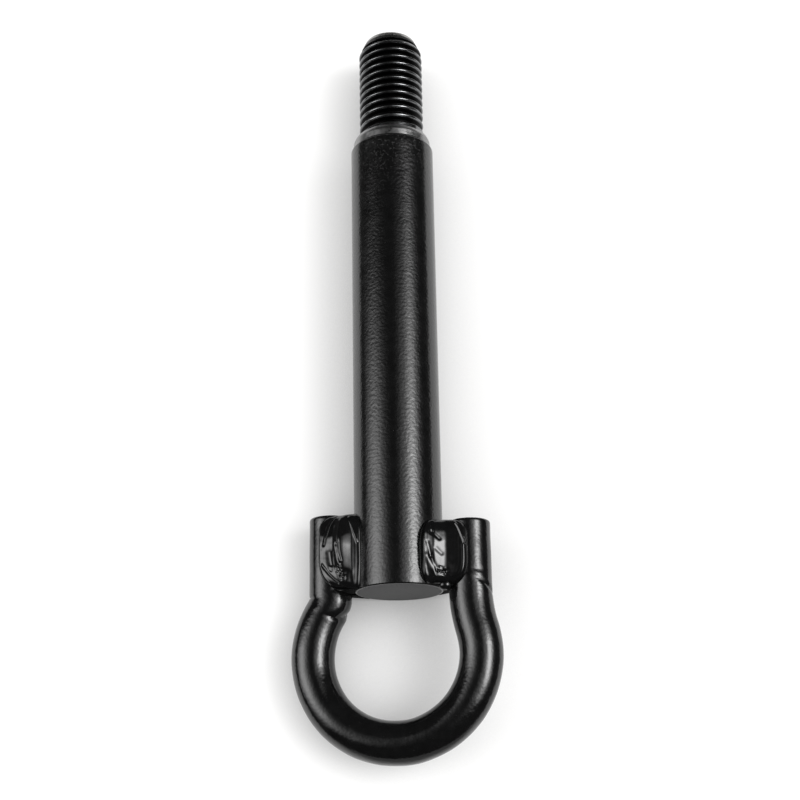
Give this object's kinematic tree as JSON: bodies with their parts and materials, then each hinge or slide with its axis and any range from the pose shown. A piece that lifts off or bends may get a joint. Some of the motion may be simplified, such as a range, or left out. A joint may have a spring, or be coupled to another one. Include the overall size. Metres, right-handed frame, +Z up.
{
  "type": "tow eye",
  "caption": "Screw-in vehicle tow eye: threaded stud on a long round shaft, with a bent round-bar eye welded to its sides to take a shackle or hook.",
  "frame": {"origin": "on the shaft's axis, where the parallel part of the stud begins", "axes": "+Y along the stud towards its tip, +Z up from the surface that the tow eye lies on, +X to the right arm's side"},
  "size_m": [0.0467, 0.1779, 0.0201],
  "materials": {
    "shaft_paint": "semi-gloss black paint over turned steel",
    "eye_paint": "semi-gloss black paint over bent bar",
    "weld_paint": "glossy black paint over weld metal"
  },
  "bodies": {
    "root": {"shaft": "shaft_paint", "eye_bar": "eye_paint", "weld_front_left": "weld_paint", "weld_front_right": "weld_paint", "weld_rear_left": "weld_paint", "weld_rear_right": "weld_paint"}
  },
  "joints": []
}
